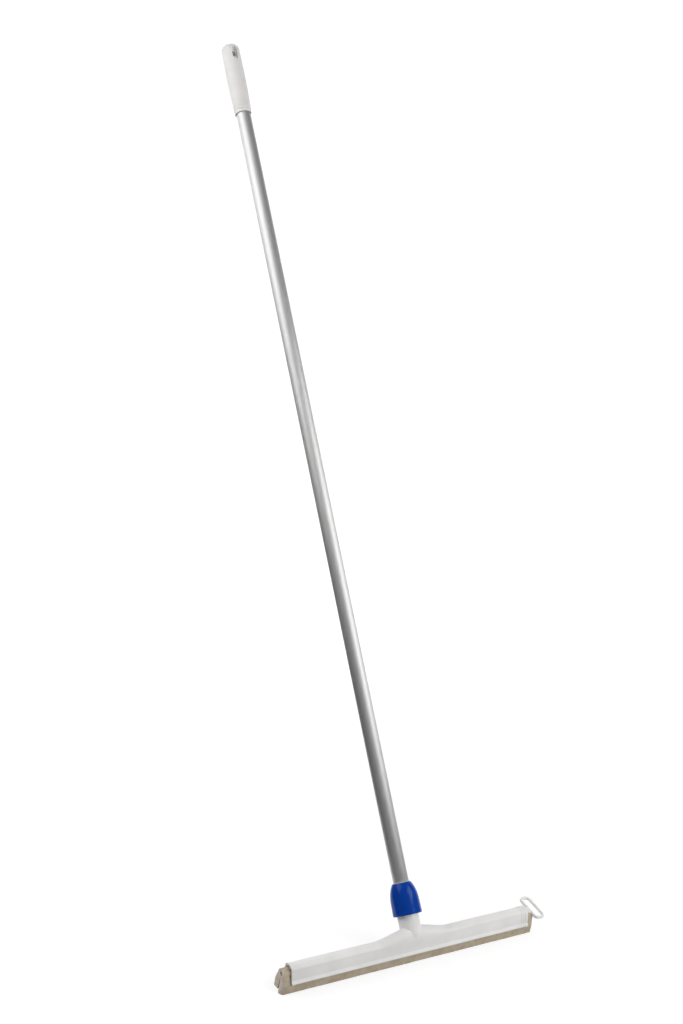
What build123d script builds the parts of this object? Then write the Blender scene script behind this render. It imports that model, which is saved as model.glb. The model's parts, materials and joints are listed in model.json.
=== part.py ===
"""Long-handled floor squeegee: rubber cassette in a moulded head, clamped on an aluminium handle.

Millimetres, +Z up, X along the blade, Y towards the back. The origin is the middle of the front lip's foot.
"""
import math
import os

from build123d import *

os.makedirs("parts", exist_ok=True)

# Gaps between pieces
RUN_GAP = 0.08  # radial gap of the tube in the socket and in the collet
FREE_GAP = 0.5  # gap between pieces that slide or turn past each other
CONE_GAP = 0.35  # radial gap between the collet and the nut
SEAT_GAP = 0.3  # gap under a piece that stands on its seat
GLUE_GAP = 0.05  # radial gap of pieces glued on or in the tube

# Moulded head: half widths are measured from its mid plane, heights from the floor
HEAD_LENGTH = 430.0
SKIRT_Z = 14.0
SKIRT_HALF = 14.5
SKIRT_RIM = 1.6
WAIST_Z = 19.2
WAIST_HALF = 11.75
SHOULDER_Z = 35.1
SHOULDER_HALF = 9.1
LEDGE = 0.45
CROWN_Z = 39.6
WALL = 2.0
PINCH_HALF = 7.6
PINCH_LOW_Z = 24.2
PINCH_HIGH_Z = 25.4
CHAMBER_HALF = 8.5
CHAMBER_Z = 27.5
TOP_RIB_OFFSET = 3.0
TOP_RIB_WIDTH = 1.8
END_RIM_LENGTH = 5.0
END_RIM_PROUD = 0.4
END_RIB_COUNT = 2
END_RIB_LENGTH = 1.6
END_RIB_PITCH = 4.0

# Rubber blade folded over its core
BLADE_LENGTH = 450.0
LIP_FOOT_HALF = 13.0
SLIT_FOOT_HALF = 1.5
SLIT_TOP_HALF = 0.4
BLADE_TOP_Z = 34.5

# Core strip with its pull loop
CORE_SETBACK = 16.0
CORE_BEAD_RADIUS = 2.8
CORE_SPINE = 2.4
CORE_FOOT_Z = 21.4
NECK_LENGTH = 3.0
LOOP_START = 0.2
LOOP_LENGTH = 49.4
LOOP_WIDTH = 20.8
LOOP_WIRE = 4.8
LOOP_CORNER = 8.5
LOOP_ROUND = 2.2
LOOP_Z = 29.6
LOOP_BACK = 5.7
LOOP_ROLL = 9.3

# Pole axis: it leans back and crosses the head's mid plane at this height
POLE_TILT = 36.0
POLE_Z = 34.0

# Socket on the head; places along the pole are measured from where it crosses the mid plane
SOCKET_WALL = 4.22
SOCKET_FLOOR = 13.0
SOCKET_TOP = 60.0
SOCKET_SEAT_DEPTH = 10.0
SOCKET_SEAT_FLARE = 2.52
ROOT_LOW = -8.0
ROOT_TOP = 5.0
ROOT_HALF = 6.0
WEB_HALF = 57.0
WEB_SHOULDER = 30.0
WEB_SHOULDER_SHARE = 0.53
WEB_FOOT_Z = 24.0
WEB_SINK = 0.4
WEB_TOP_Z = 51.0
WEB_TOP_BACK = 1.5
WEB_BULGE = 0.65
WEB_RISE = 18.6
WEB_REACH = 12.0
WEB_END_BULGE = 0.35
WEB_END_RISE = 2.9

# Screw thread between socket and nut
THREAD_PITCH = 4.0
THREAD_TURNS = 3
NUT_THREAD_TURNS = 2
THREAD_START = 42.0
THREAD_DEPTH = 1.5
THREAD_ROOT = 2.4
THREAD_CREST = 1.0
THREAD_SINK = 0.2
THREAD_GAP = 0.35

# Clamp nut
NUT_LOW = 33.7
NUT_HEIGHT = 47.3
NUT_FOOT_WALL = 4.05
NUT_FOOT_ROUND = 2.0
NUT_WAIST_WALL = 3.35
NUT_WAIST = 23.5
NUT_NECK_WALL = 4.62
NUT_NECK = 40.5
NUT_TOP_WALL = 1.07
NUT_THREAD_LENGTH = 22.0

# Split collet
COLLET_EDGE = 0.7
COLLET_FLANGE_WALL = 3.22
COLLET_FLANGE = 3.0
COLLET_CONE_WALL = 2.82
COLLET_CONE = 14.5
COLLET_TIP = 4.2
COLLET_SLOTS = 6
COLLET_SLOT_WIDTH = 1.6
COLLET_SLOT_LENGTH = 19.0

# Handle
TUBE_RADIUS = 12.0
TUBE_WALL = 1.3
TUBE_LENGTH = 1430.0
BUNG_FLANGE = 2.0
BUNG_LENGTH = 20.0
BUNG_WALL = 1.8
BUNG_FLOOR = 3.0
GRIP_LENGTH = 127.3
GRIP_OVERLAP = 90.0
GRIP_FOOT_WALL = 1.9
GRIP_MOUTH_GAP = 0.9
GRIP_MOUTH_DEPTH = 6.0
GRIP_BELLY_WALL = 3.9
GRIP_BELLY = 66.0
GRIP_TOP_WALL = 3.4
GRIP_TOP_ROUND = 10.0
GRIP_GROOVE = 0.6
GRIP_GROOVE_WIDTH = 1.4
GRIP_GROOVE_PITCH = 5.0
GRIP_GROOVE_COUNT = 2
HANG_HOLE_RADIUS = 5.0
HANG_HOLE_DROP = 19.4
HANG_POCKET_LENGTH = 22.4
HANG_POCKET_WIDTH = 10.6
HANG_WEB = 18.0
HANG_TURN = -3.0

# Places worked out from the sizes
mid_y = (LIP_FOOT_HALF + SLIT_FOOT_HALF) / 2
tilt = math.radians(POLE_TILT)
along_pole = Vector(0, math.sin(tilt), math.cos(tilt))
pole_origin = Vector(0, mid_y, POLE_Z)
pole_axis = Axis(pole_origin, along_pole)
section = Plane(origin=(0, mid_y, 0), x_dir=(0, 1, 0), z_dir=(1, 0, 0))
pole = Plane(origin=pole_origin, x_dir=(1, 0, 0), z_dir=along_pole)
meridian = Plane(origin=pole_origin, x_dir=(1, 0, 0), z_dir=(0, -math.cos(tilt), math.sin(tilt)))

head_end = HEAD_LENGTH / 2
blade_end = BLADE_LENGTH / 2
mouth_half = SKIRT_HALF - WALL
waist_inner = WAIST_HALF - WALL
rib_foot = BLADE_TOP_Z + FREE_GAP
bore_radius = TUBE_RADIUS + RUN_GAP
socket_radius = bore_radius + SOCKET_WALL
seat_radius = bore_radius + SOCKET_SEAT_FLARE
handle_low = SOCKET_FLOOR + SEAT_GAP
tube_low = handle_low + BUNG_FLANGE
tube_top = tube_low + TUBE_LENGTH
grip_low = tube_top - GRIP_OVERLAP
grip_top = grip_low + GRIP_LENGTH
nut_top = NUT_LOW + NUT_HEIGHT
nut_major = socket_radius + THREAD_DEPTH + THREAD_GAP
nut_minor = socket_radius + THREAD_GAP


def thread_ridge(root_radius, crest_radius, start, turns):
    """Returns a right-handed helical ridge round the pole axis."""
    centre = pole_origin + along_pole * start
    depth = crest_radius - root_radius
    with BuildPart() as ridge:
        with BuildLine() as path:
            Helix(THREAD_PITCH, THREAD_PITCH * turns, root_radius, center=centre, direction=along_pole)
        begin = path.line @ 0
        with BuildSketch(Plane(origin=begin, x_dir=begin - centre, z_dir=path.line % 0)):
            with BuildLine():
                Polyline(
                    (0, -THREAD_ROOT / 2),
                    (depth, -THREAD_CREST / 2),
                    (depth, THREAD_CREST / 2),
                    (0, THREAD_ROOT / 2),
                    close=True,
                )
            make_face()
        sweep(path=path.line, is_frenet=True)
    return ridge.part


# Outer section of the head
with BuildSketch() as head_outline:
    with BuildLine():
        Polyline(
            (0, SKIRT_Z),
            (SKIRT_HALF, SKIRT_Z),
            (SKIRT_HALF, SKIRT_Z + SKIRT_RIM),
            (WAIST_HALF, WAIST_Z),
            (SHOULDER_HALF, SHOULDER_Z),
            (SHOULDER_HALF + LEDGE, SHOULDER_Z + LEDGE),
        )
        mirror(about=Plane.YZ)
        ThreePointArc(
            (SHOULDER_HALF + LEDGE, SHOULDER_Z + LEDGE),
            (0, CROWN_Z),
            (-SHOULDER_HALF - LEDGE, SHOULDER_Z + LEDGE),
        )
    make_face()

# Sections of the web: at the socket, half way and at its ends, where it sinks in the head
flank_slope = (WAIST_HALF - SHOULDER_HALF) / (SHOULDER_Z - WAIST_Z)
flank_half = WAIST_HALF - flank_slope * (WEB_FOOT_Z - WAIST_Z)
foot_half = flank_half - WEB_SINK
bulge_half = flank_half + WEB_BULGE
web_middle = [
    (-foot_half, WEB_FOOT_Z),
    (-bulge_half, WEB_FOOT_Z + WEB_RISE),
    (WEB_TOP_BACK - WEB_REACH, WEB_TOP_Z),
    (WEB_TOP_BACK, WEB_TOP_Z),
    (WEB_TOP_BACK + WEB_REACH, WEB_TOP_Z),
    (bulge_half, WEB_FOOT_Z + WEB_RISE),
    (foot_half, WEB_FOOT_Z),
]
end_half = SHOULDER_HALF + LEDGE + WEB_END_BULGE
end_top = CROWN_Z - WEB_SINK
web_end = [
    (-foot_half, WEB_FOOT_Z),
    (-end_half, SHOULDER_Z + WEB_END_RISE),
    (-end_half / 2, end_top),
    (0, end_top),
    (end_half / 2, end_top),
    (end_half, SHOULDER_Z + WEB_END_RISE),
    (foot_half, WEB_FOOT_Z),
]
web_shoulder = [
    tuple(e + (m - e) * WEB_SHOULDER_SHARE for e, m in zip(end, middle))
    for end, middle in zip(web_end, web_middle)
]
web_sections = [
    (-WEB_HALF, web_end),
    (-WEB_SHOULDER, web_shoulder),
    (0, web_middle),
    (WEB_SHOULDER, web_shoulder),
    (WEB_HALF, web_end),
]

# Head: one moulding of channel, web and socket
thread_crest_radius = socket_radius + THREAD_DEPTH
socket_thread = thread_ridge(socket_radius - THREAD_SINK, thread_crest_radius, THREAD_START, THREAD_TURNS)
with BuildPart() as squeegee_frame:
    with BuildSketch(section):
        add(head_outline.sketch)
    extrude(amount=head_end, both=True)
    # Raised rims at both ends, with thin ribs beside the right one
    right_rim = head_end - END_RIM_LENGTH
    rib_starts = [right_rim - END_RIB_PITCH * (i + 1) for i in range(END_RIB_COUNT)]
    bands = [(-head_end, END_RIM_LENGTH), (right_rim, END_RIM_LENGTH)]
    bands += [(start, END_RIB_LENGTH) for start in rib_starts]
    for start, length in bands:
        with BuildSketch(section.offset(start)):
            add(head_outline.sketch)
            offset(amount=END_RIM_PROUD, kind=Kind.INTERSECTION)
            with Locations((0, SKIRT_Z - END_RIM_PROUD)):
                Rectangle(4 * SKIRT_HALF, 2 * END_RIM_PROUD, mode=Mode.SUBTRACT)
        extrude(amount=length)
    # Web that carries the socket: sections along the head, from the crown up to the socket and down again
    for station, outline in web_sections:
        with BuildSketch(section.offset(station)):
            with BuildLine():
                Bezier(*outline[:4])
                Bezier(*outline[3:])
                Line(outline[6], outline[0])
            make_face()
    loft()
    # Socket and its root, which narrows into the web
    with BuildSketch(pole.offset(ROOT_LOW)):
        Ellipse(socket_radius, ROOT_HALF)
    with BuildSketch(pole.offset(ROOT_TOP)):
        Circle(socket_radius)
    loft()
    with BuildSketch(pole.offset(ROOT_TOP)):
        Circle(socket_radius)
    extrude(amount=SOCKET_TOP - ROOT_TOP)
    add(socket_thread)
    # Bore for the tube, opening to a cone for the collet
    with BuildSketch(meridian):
        with BuildLine():
            Polyline(
                (0, SOCKET_FLOOR),
                (bore_radius, SOCKET_FLOOR),
                (bore_radius, SOCKET_TOP - SOCKET_SEAT_DEPTH),
                (seat_radius, SOCKET_TOP),
                (0, SOCKET_TOP),
                close=True,
            )
        make_face()
    revolve(axis=pole_axis, mode=Mode.SUBTRACT)
    # Channel for the cassette
    with BuildSketch(section):
        with BuildLine():
            Polyline(
                (0, SKIRT_Z),
                (mouth_half, SKIRT_Z),
                (waist_inner, WAIST_Z),
                (PINCH_HALF, PINCH_LOW_Z),
                (PINCH_HALF, PINCH_HIGH_Z),
                (CHAMBER_HALF, CHAMBER_Z),
                (SHOULDER_HALF - WALL, SHOULDER_Z),
            )
            mirror(about=Plane.YZ)
            ThreePointArc(
                (SHOULDER_HALF - WALL, SHOULDER_Z),
                (0, CROWN_Z - WALL),
                (WALL - SHOULDER_HALF, SHOULDER_Z),
            )
        make_face()
        with Locations((-TOP_RIB_OFFSET, rib_foot), (TOP_RIB_OFFSET, rib_foot)):
            Rectangle(TOP_RIB_WIDTH, CROWN_Z, align=(Align.CENTER, Align.MIN), mode=Mode.SUBTRACT)
    extrude(amount=head_end, both=True, mode=Mode.SUBTRACT)
squeegee_frame.part.label = "squeegee_frame"
export_step(squeegee_frame.part, "parts/squeegee_frame.step")


# Section of the core strip: a bead on a flat spine
with BuildSketch() as core_section:
    with Locations((0, CHAMBER_Z)):
        Circle(CORE_BEAD_RADIUS)
        Rectangle(CORE_SPINE, CHAMBER_Z - CORE_FOOT_Z, align=(Align.CENTER, Align.MAX))

# Blade: a strip of cellular rubber folded over the core, with two lips
with BuildPart() as rubber_blade:
    with BuildSketch(section):
        with BuildLine():
            Polyline(
                (0, 0),
                (LIP_FOOT_HALF, 0),
                (mouth_half - FREE_GAP, SKIRT_Z),
                (waist_inner - FREE_GAP, WAIST_Z),
                (PINCH_HALF - FREE_GAP, PINCH_LOW_Z),
                (PINCH_HALF - FREE_GAP, PINCH_HIGH_Z),
                (CHAMBER_HALF - FREE_GAP, CHAMBER_Z),
            )
            mirror(about=Plane.YZ)
            ThreePointArc(
                (CHAMBER_HALF - FREE_GAP, CHAMBER_Z),
                (0, BLADE_TOP_Z),
                (FREE_GAP - CHAMBER_HALF, CHAMBER_Z),
            )
        make_face()
        with BuildLine():
            Polyline((0, 0), (SLIT_FOOT_HALF, 0), (SLIT_TOP_HALF, CORE_FOOT_Z), (0, CORE_FOOT_Z))
            mirror(about=Plane.YZ)
        make_face(mode=Mode.SUBTRACT)
    extrude(amount=blade_end, both=True)
    with BuildSketch(section.offset(CORE_SETBACK - blade_end)):
        add(core_section.sketch)
    extrude(amount=BLADE_LENGTH - CORE_SETBACK, mode=Mode.SUBTRACT)
rubber_blade.part.label = "rubber_blade"
export_step(rubber_blade.part, "parts/rubber_blade.step")

# Core strip inside the fold, with the flat loop that pulls the cassette out
roll = math.radians(LOOP_ROLL)
loop_plane = Plane(
    origin=(blade_end + LOOP_START + LOOP_WIDTH / 2, mid_y + LOOP_BACK, LOOP_Z),
    x_dir=(1, 0, 0),
    z_dir=(0, -math.sin(roll), math.cos(roll)),
)
with BuildPart() as blade_core:
    with BuildSketch(loop_plane):
        RectangleRounded(LOOP_WIDTH, LOOP_LENGTH, LOOP_CORNER)
        RectangleRounded(
            LOOP_WIDTH - 2 * LOOP_WIRE,
            LOOP_LENGTH - 2 * LOOP_WIRE,
            LOOP_CORNER - LOOP_WIRE,
            mode=Mode.SUBTRACT,
        )
    extrude(amount=LOOP_WIRE / 2, both=True)
    fillet(blade_core.faces().filter_by(loop_plane).edges(), LOOP_ROUND)
    with BuildSketch(section.offset(CORE_SETBACK - blade_end)):
        add(core_section.sketch)
    extrude(amount=BLADE_LENGTH - CORE_SETBACK + NECK_LENGTH)
blade_core.part.label = "blade_core"
export_step(blade_core.part, "parts/blade_core.step")

# Clamp nut: a domed cap screwed down over the socket
flange_low = SOCKET_TOP + FREE_GAP
flange_top = flange_low + COLLET_FLANGE
cone_top = flange_top + COLLET_CONE
flange_radius = bore_radius + COLLET_FLANGE_WALL
cone_radius = bore_radius + COLLET_CONE_WALL
tip_radius = bore_radius + COLLET_EDGE
mouth_radius = tip_radius + CONE_GAP
nut_foot_radius = nut_major + NUT_FOOT_WALL
half_way = THREAD_START + THREAD_PITCH / 2
nut_thread = thread_ridge(nut_major + THREAD_SINK, nut_minor, half_way, NUT_THREAD_TURNS)
with BuildPart() as clamp_nut:
    with BuildSketch(meridian):
        with BuildLine():
            Line((nut_major, NUT_LOW), (nut_foot_radius, NUT_LOW))
            Line((nut_foot_radius, NUT_LOW), (nut_foot_radius, NUT_LOW + 2 * NUT_FOOT_ROUND))
            Spline(
                (nut_foot_radius, NUT_LOW + 2 * NUT_FOOT_ROUND),
                (nut_major + NUT_WAIST_WALL, NUT_LOW + NUT_WAIST),
                (mouth_radius + NUT_NECK_WALL, NUT_LOW + NUT_NECK),
                (mouth_radius + NUT_TOP_WALL, nut_top),
            )
            Polyline(
                (mouth_radius + NUT_TOP_WALL, nut_top),
                (mouth_radius, nut_top),
                (mouth_radius, cone_top),
                (cone_radius + CONE_GAP, flange_top + FREE_GAP),
                (nut_minor, flange_top + FREE_GAP),
                (nut_minor, NUT_LOW + NUT_THREAD_LENGTH),
                (nut_major, NUT_LOW + NUT_THREAD_LENGTH),
                (nut_major, NUT_LOW),
            )
        make_face()
    revolve(axis=pole_axis)
    foot_edge = clamp_nut.edges().filter_by(GeomType.CIRCLE).sort_by(pole_axis).group_by(pole_axis)[0]
    fillet(foot_edge.sort_by(SortBy.RADIUS)[-1], NUT_FOOT_ROUND)
    add(nut_thread)
clamp_nut.part.label = "clamp_nut"
export_step(clamp_nut.part, "parts/clamp_nut.step")

# Collet: a split sleeve that the nut squeezes on the tube
seat_slope = (seat_radius - bore_radius) / SOCKET_SEAT_DEPTH
collet_seat_top = seat_radius - FREE_GAP
collet_low = SOCKET_TOP - (collet_seat_top - tip_radius) / seat_slope
with BuildPart() as clamp_collet:
    with BuildSketch(meridian):
        with BuildLine():
            Polyline(
                (bore_radius, collet_low),
                (tip_radius, collet_low),
                (collet_seat_top, SOCKET_TOP),
                (collet_seat_top, flange_low),
                (flange_radius, flange_low),
                (flange_radius, flange_top),
                (cone_radius, flange_top),
                (tip_radius, cone_top),
                (tip_radius, cone_top + COLLET_TIP),
                (bore_radius, cone_top + COLLET_TIP),
                close=True,
            )
        make_face()
    revolve(axis=pole_axis)
    with BuildSketch(pole.offset(collet_low)):
        with PolarLocations(bore_radius, COLLET_SLOTS):
            Rectangle(flange_radius, COLLET_SLOT_WIDTH)
    extrude(amount=COLLET_SLOT_LENGTH, mode=Mode.SUBTRACT)
clamp_collet.part.label = "clamp_collet"
export_step(clamp_collet.part, "parts/clamp_collet.step")

# Handle tube
with BuildPart() as handle_tube:
    with BuildSketch(pole.offset(tube_low)):
        Circle(TUBE_RADIUS)
        Circle(TUBE_RADIUS - TUBE_WALL, mode=Mode.SUBTRACT)
    extrude(amount=TUBE_LENGTH)
handle_tube.part.label = "handle_tube"
export_step(handle_tube.part, "parts/handle_tube.step")

# Bung that closes the tube's lower end
spigot_radius = TUBE_RADIUS - TUBE_WALL - GLUE_GAP
with BuildPart() as tube_bung:
    with BuildSketch(meridian):
        with BuildLine():
            Polyline(
                (0, handle_low),
                (TUBE_RADIUS, handle_low),
                (TUBE_RADIUS, tube_low),
                (spigot_radius, tube_low),
                (spigot_radius, handle_low + BUNG_LENGTH),
                (spigot_radius - BUNG_WALL, handle_low + BUNG_LENGTH),
                (spigot_radius - BUNG_WALL, handle_low + BUNG_FLOOR),
                (0, handle_low + BUNG_FLOOR),
                close=True,
            )
        make_face()
    revolve(axis=pole_axis)
tube_bung.part.label = "tube_bung"
export_step(tube_bung.part, "parts/tube_bung.step")

# Grip: a moulded cap over the tube's upper end, with a hole to hang the tool by
grip_foot_radius = TUBE_RADIUS + GRIP_FOOT_WALL
belly_radius = TUBE_RADIUS + GRIP_BELLY_WALL
grip_top_radius = TUBE_RADIUS + GRIP_TOP_WALL
hang_place = grip_top - HANG_HOLE_DROP
hang_level = pole.offset(hang_place)
hang_out = -hang_level.y_dir.rotate(Axis((0, 0, 0), along_pole), HANG_TURN)
hang_front = Plane(origin=hang_level.origin + hang_out * HANG_WEB / 2, x_dir=along_pole, z_dir=hang_out)
hang_back = Plane(origin=hang_level.origin - hang_out * HANG_WEB / 2, x_dir=along_pole, z_dir=-hang_out)
with BuildPart() as hand_grip:
    with BuildSketch(meridian):
        with BuildLine():
            Line((0, grip_low), (grip_foot_radius, grip_low))
            ThreePointArc(
                (grip_foot_radius, grip_low),
                (belly_radius, grip_low + GRIP_BELLY),
                (grip_top_radius, grip_top),
            )
            Polyline((grip_top_radius, grip_top), (0, grip_top), (0, grip_low))
        make_face()
        for i in range(GRIP_GROOVE_COUNT):
            with Locations((grip_foot_radius, grip_low + GRIP_GROOVE_PITCH * (i + 1))):
                Rectangle(2 * GRIP_GROOVE, GRIP_GROOVE_WIDTH, mode=Mode.SUBTRACT)
    revolve(axis=pole_axis)
    fillet(hand_grip.edges().sort_by(pole_axis)[-1], GRIP_TOP_ROUND)
    with BuildSketch(pole.offset(grip_low)):
        Circle(TUBE_RADIUS + GLUE_GAP)
    extrude(amount=GRIP_OVERLAP, mode=Mode.SUBTRACT)
    with BuildSketch(pole.offset(grip_low)):
        Circle(TUBE_RADIUS + GRIP_MOUTH_GAP)
    extrude(amount=GRIP_MOUTH_DEPTH, mode=Mode.SUBTRACT)
    for face in (hang_front, hang_back):
        with BuildSketch(face):
            SlotOverall(HANG_POCKET_LENGTH, HANG_POCKET_WIDTH)
        extrude(amount=belly_radius, mode=Mode.SUBTRACT)
    with BuildSketch(hang_front):
        Circle(HANG_HOLE_RADIUS)
    extrude(amount=-HANG_WEB, mode=Mode.SUBTRACT)
hand_grip.part.label = "hand_grip"
export_step(hand_grip.part, "parts/hand_grip.step")
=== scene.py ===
"""Floor squeegee with a folded rubber blade: the look of each piece, in the frame of the solid model."""
import json
import math

import bmesh
import bpy
from mathutils import Matrix, Vector


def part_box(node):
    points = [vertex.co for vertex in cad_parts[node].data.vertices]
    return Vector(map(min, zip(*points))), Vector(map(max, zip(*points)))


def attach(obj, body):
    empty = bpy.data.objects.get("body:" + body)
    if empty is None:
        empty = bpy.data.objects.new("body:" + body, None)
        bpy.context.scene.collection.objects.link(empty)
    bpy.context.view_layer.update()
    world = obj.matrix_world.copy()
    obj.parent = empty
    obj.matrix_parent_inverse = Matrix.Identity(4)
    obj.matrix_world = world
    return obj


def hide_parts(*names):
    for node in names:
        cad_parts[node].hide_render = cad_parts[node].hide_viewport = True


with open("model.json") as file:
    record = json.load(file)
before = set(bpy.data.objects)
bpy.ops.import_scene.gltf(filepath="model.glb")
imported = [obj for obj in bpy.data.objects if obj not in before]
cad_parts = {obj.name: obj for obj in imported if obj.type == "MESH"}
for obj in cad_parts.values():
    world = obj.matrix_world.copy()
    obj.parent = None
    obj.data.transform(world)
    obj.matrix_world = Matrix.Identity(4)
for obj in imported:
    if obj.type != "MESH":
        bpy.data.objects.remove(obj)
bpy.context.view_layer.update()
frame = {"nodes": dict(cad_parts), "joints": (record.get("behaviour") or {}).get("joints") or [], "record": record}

# The head
# One injection moulding of white polypropylene, about 2 mm thick. Its channel holds the rubber, raised rims
# stiffen both ends, and a dome in the middle rises into the threaded socket that takes the handle.
MM = 0.001
ARC_STEPS = 5
NEARLY_STRAIGHT = math.radians(89.95)
HEAD_LENGTH = 430.0
SKIRT_Z = 14.0
SKIRT_HALF = 14.5
SKIRT_EDGE = 1.6
MOUTH_HALF = 12.5
WAIST_Z = 19.2
WAIST_HALF = 11.75
CHANNEL_WAIST_HALF = 9.75
PINCH_HALF = 7.6
PINCH_LOW_Z = 24.2
PINCH_HIGH_Z = 25.4
CHAMBER_HALF = 8.5
CHAMBER_Z = 27.5
SHOULDER_Z = 35.1
SHOULDER_HALF = 9.1
CHANNEL_TOP_HALF = 7.1
LEDGE = 0.45
FLANK_SWELL = 0.45
CROWN_Z = 39.6
CROWN_POINTS = 19
CEILING_Z = 37.6
CEILING_DROP = 0.7
RIB_INNER = 2.1
RIB_OUTER = 3.9
RIB_FOOT_Z = 35.0
RIM_LENGTH = 5.0
RIM_PROUD = 0.4
RIM_SLOPE = 0.25
END_RIBS = ((206.0, 207.6), (202.0, 203.6))
FLANK_FOOT_Z = 24.0
DOME_HALF = 62.0
DOME_FLAT = 12.0
DOME_TOP_Z = 51.0
DOME_TOP_BACK = 1.5
DOME_SIDE_HALF = 11.7
DOME_SIDE_Z = 42.6
DOME_ROUND_HALF = 10.6
DOME_EASE = 0.2
DOME_STEPS = 24
# The ledge along the shoulder fades out beside the dome, into a soft edge
CREASE_END = 66.0
CREASE_START = 46.0
SOFT_DROP = 3.0
SOFT_REACH = 2.5
SOFT_LOW = (9.0, SHOULDER_Z + 0.6)
SOFT_HIGH = (8.4, CROWN_Z - 2.6)
SOFT_STEPS = 10
GRID = 1.5
head_end = HEAD_LENGTH / 2

rubber_low, rubber_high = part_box("rubber_blade")
mid_y = (rubber_low.y + rubber_high.y) / 2 / MM
nut_turn = next(joint for joint in frame["joints"] if joint["name"] == "nut_turn")
along_pole = Vector(nut_turn["axis"])
back_of_pole = along_pole.cross(Vector((1, 0, 0)))
pole = Matrix((Vector((1, 0, 0)), back_of_pole, along_pole)).transposed().to_4x4()
pole.translation = Vector(nut_turn["pos_m"])


def rounded(corners):
    """The closed outline through corners of (across, up, radius), each turned by an arc of its radius."""
    outline = []
    for i, (across, up, radius) in enumerate(corners):
        corner = Vector((across, up))
        to_last = (Vector(corners[i - 1][:2]) - corner).normalized()
        to_next = (Vector(corners[(i + 1) % len(corners)][:2]) - corner).normalized()
        half_angle = to_last.angle(to_next) / 2
        if radius == 0 or half_angle > NEARLY_STRAIGHT:
            outline.append(corner)
            continue
        centre = corner + (to_last + to_next).normalized() * (radius / math.sin(half_angle))
        start = corner + to_last * (radius / math.tan(half_angle)) - centre
        end = corner + to_next * (radius / math.tan(half_angle)) - centre
        outline += [centre + start.slerp(end, k / ARC_STEPS) * radius for k in range(ARC_STEPS + 1)]
    return outline


def spaced(outline, step):
    """The open outline with extra points on every run longer than step."""
    points = [outline[0]]
    for last, point in zip(outline, outline[1:]):
        parts = max(1, math.ceil((point - last).length / step))
        points += [last.lerp(point, k / parts) for k in range(1, parts + 1)]
    return points


def arch(half, foot_z, top_z, count):
    """Points on the circle from (-half, foot_z) over (0, top_z) to (half, foot_z), without its ends."""
    rise = top_z - foot_z
    radius = (half**2 + rise**2) / (2 * rise)
    sweep = math.asin(half / radius)
    turns = [sweep * (2 * k / (count + 1) - 1) for k in range(1, count + 1)]
    return [Vector((radius * math.sin(a), top_z - radius + radius * math.cos(a))) for a in turns]


def bezier(start, first, second, end, count):
    """Points at even steps along a cubic curve."""
    steps = [k / count for k in range(count + 1)]
    return [
        Vector(start) * (1 - t)**3 + Vector(first) * 3 * t * (1 - t)**2
        + Vector(second) * 3 * t**2 * (1 - t) + Vector(end) * t**3
        for t in steps
    ]


def shares(points):
    """How far along a run of points each one lies, from 0 to 1."""
    lengths = [0.0]
    for last, point in zip(points, points[1:]):
        lengths.append(lengths[-1] + (point - last).length)
    return [length / lengths[-1] for length in lengths]


def at_share(points, share):
    """The point that lies that far along a run of points."""
    places = shares(points)
    for i in range(len(points) - 1):
        if share <= places[i + 1]:
            return points[i].lerp(points[i + 1], (share - places[i]) / (places[i + 1] - places[i]))
    return points[-1]


def ease(value, low, high):
    """0 below low, 1 above high, and a smooth rise between them."""
    t = min(1.0, max(0.0, (value - low) / (high - low)))
    return t * t * (3 - 2 * t)


def bands(rings, size, closed=False):
    """Quads that join rings of equal size, laid end to end, and the last to the first if closed."""
    pairs = [(r, (r + 1) % rings) for r in range(rings if closed else rings - 1)]
    return [
        (a * size + k, b * size + k, b * size + (k + 1) % size, a * size + (k + 1) % size)
        for a, b in pairs
        for k in range(size)
    ]


def caps(rings, size):
    """The two end faces of rings laid end to end."""
    return [tuple(range(size)), tuple(range((rings - 1) * size, rings * size))]


def closed_mesh(name, points, faces):
    """A mesh from points in mm, with doubled points merged and its faces turned outwards."""
    work = bmesh.new()
    corners = [work.verts.new(Vector(point) * MM) for point in points]
    for face in faces:
        work.faces.new([corners[i] for i in face])
    bmesh.ops.remove_doubles(work, verts=work.verts, dist=0.001 * MM)
    loose = [edge for edge in work.edges if not edge.link_faces]
    bmesh.ops.delete(work, geom=loose, context="EDGES")
    bmesh.ops.recalc_face_normals(work, faces=work.faces)
    mesh = bpy.data.meshes.new(name)
    work.to_mesh(mesh)
    work.free()
    return mesh


def carved(mesh, tool, operation):
    """The mesh once a tool mesh is cut from it or joined to it."""
    blank = bpy.data.objects.new("blank", mesh)
    cutter = bpy.data.objects.new("cutter", tool)
    for thing in (blank, cutter):
        bpy.context.scene.collection.objects.link(thing)
    cut = blank.modifiers.new("cut", "BOOLEAN")
    cut.object = cutter
    cut.operation = operation
    cut.solver = "MANIFOLD"
    bpy.context.view_layer.update()
    seen = blank.evaluated_get(bpy.context.evaluated_depsgraph_get())
    result = bpy.data.meshes.new_from_object(seen)
    result.name = mesh.name
    bpy.data.objects.remove(blank)
    bpy.data.objects.remove(cutter)
    return result


def turned(name, profile, steps):
    """A mesh of a closed profile of (radius, height) in mm, turned round the upright axis."""
    turns = [math.tau * k / steps for k in range(steps)]
    points = [(r * math.cos(a), r * math.sin(a), h) for a in turns for r, h in profile]
    return closed_mesh(name, points, bands(steps, len(profile), closed=True))


def placed(name, mesh, material, place=Matrix.Identity(4), sharp=35.0):
    """Puts a mesh in the scene as a piece with one material, smooth except at sharp edges."""
    piece = bpy.data.objects.new(name, mesh)
    bpy.context.scene.collection.objects.link(piece)
    piece.matrix_world = place
    mesh.materials.clear()
    mesh.materials.append(material)
    mesh.shade_smooth()
    mesh.set_sharp_from_angle(angle=math.radians(sharp))
    return piece


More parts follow.
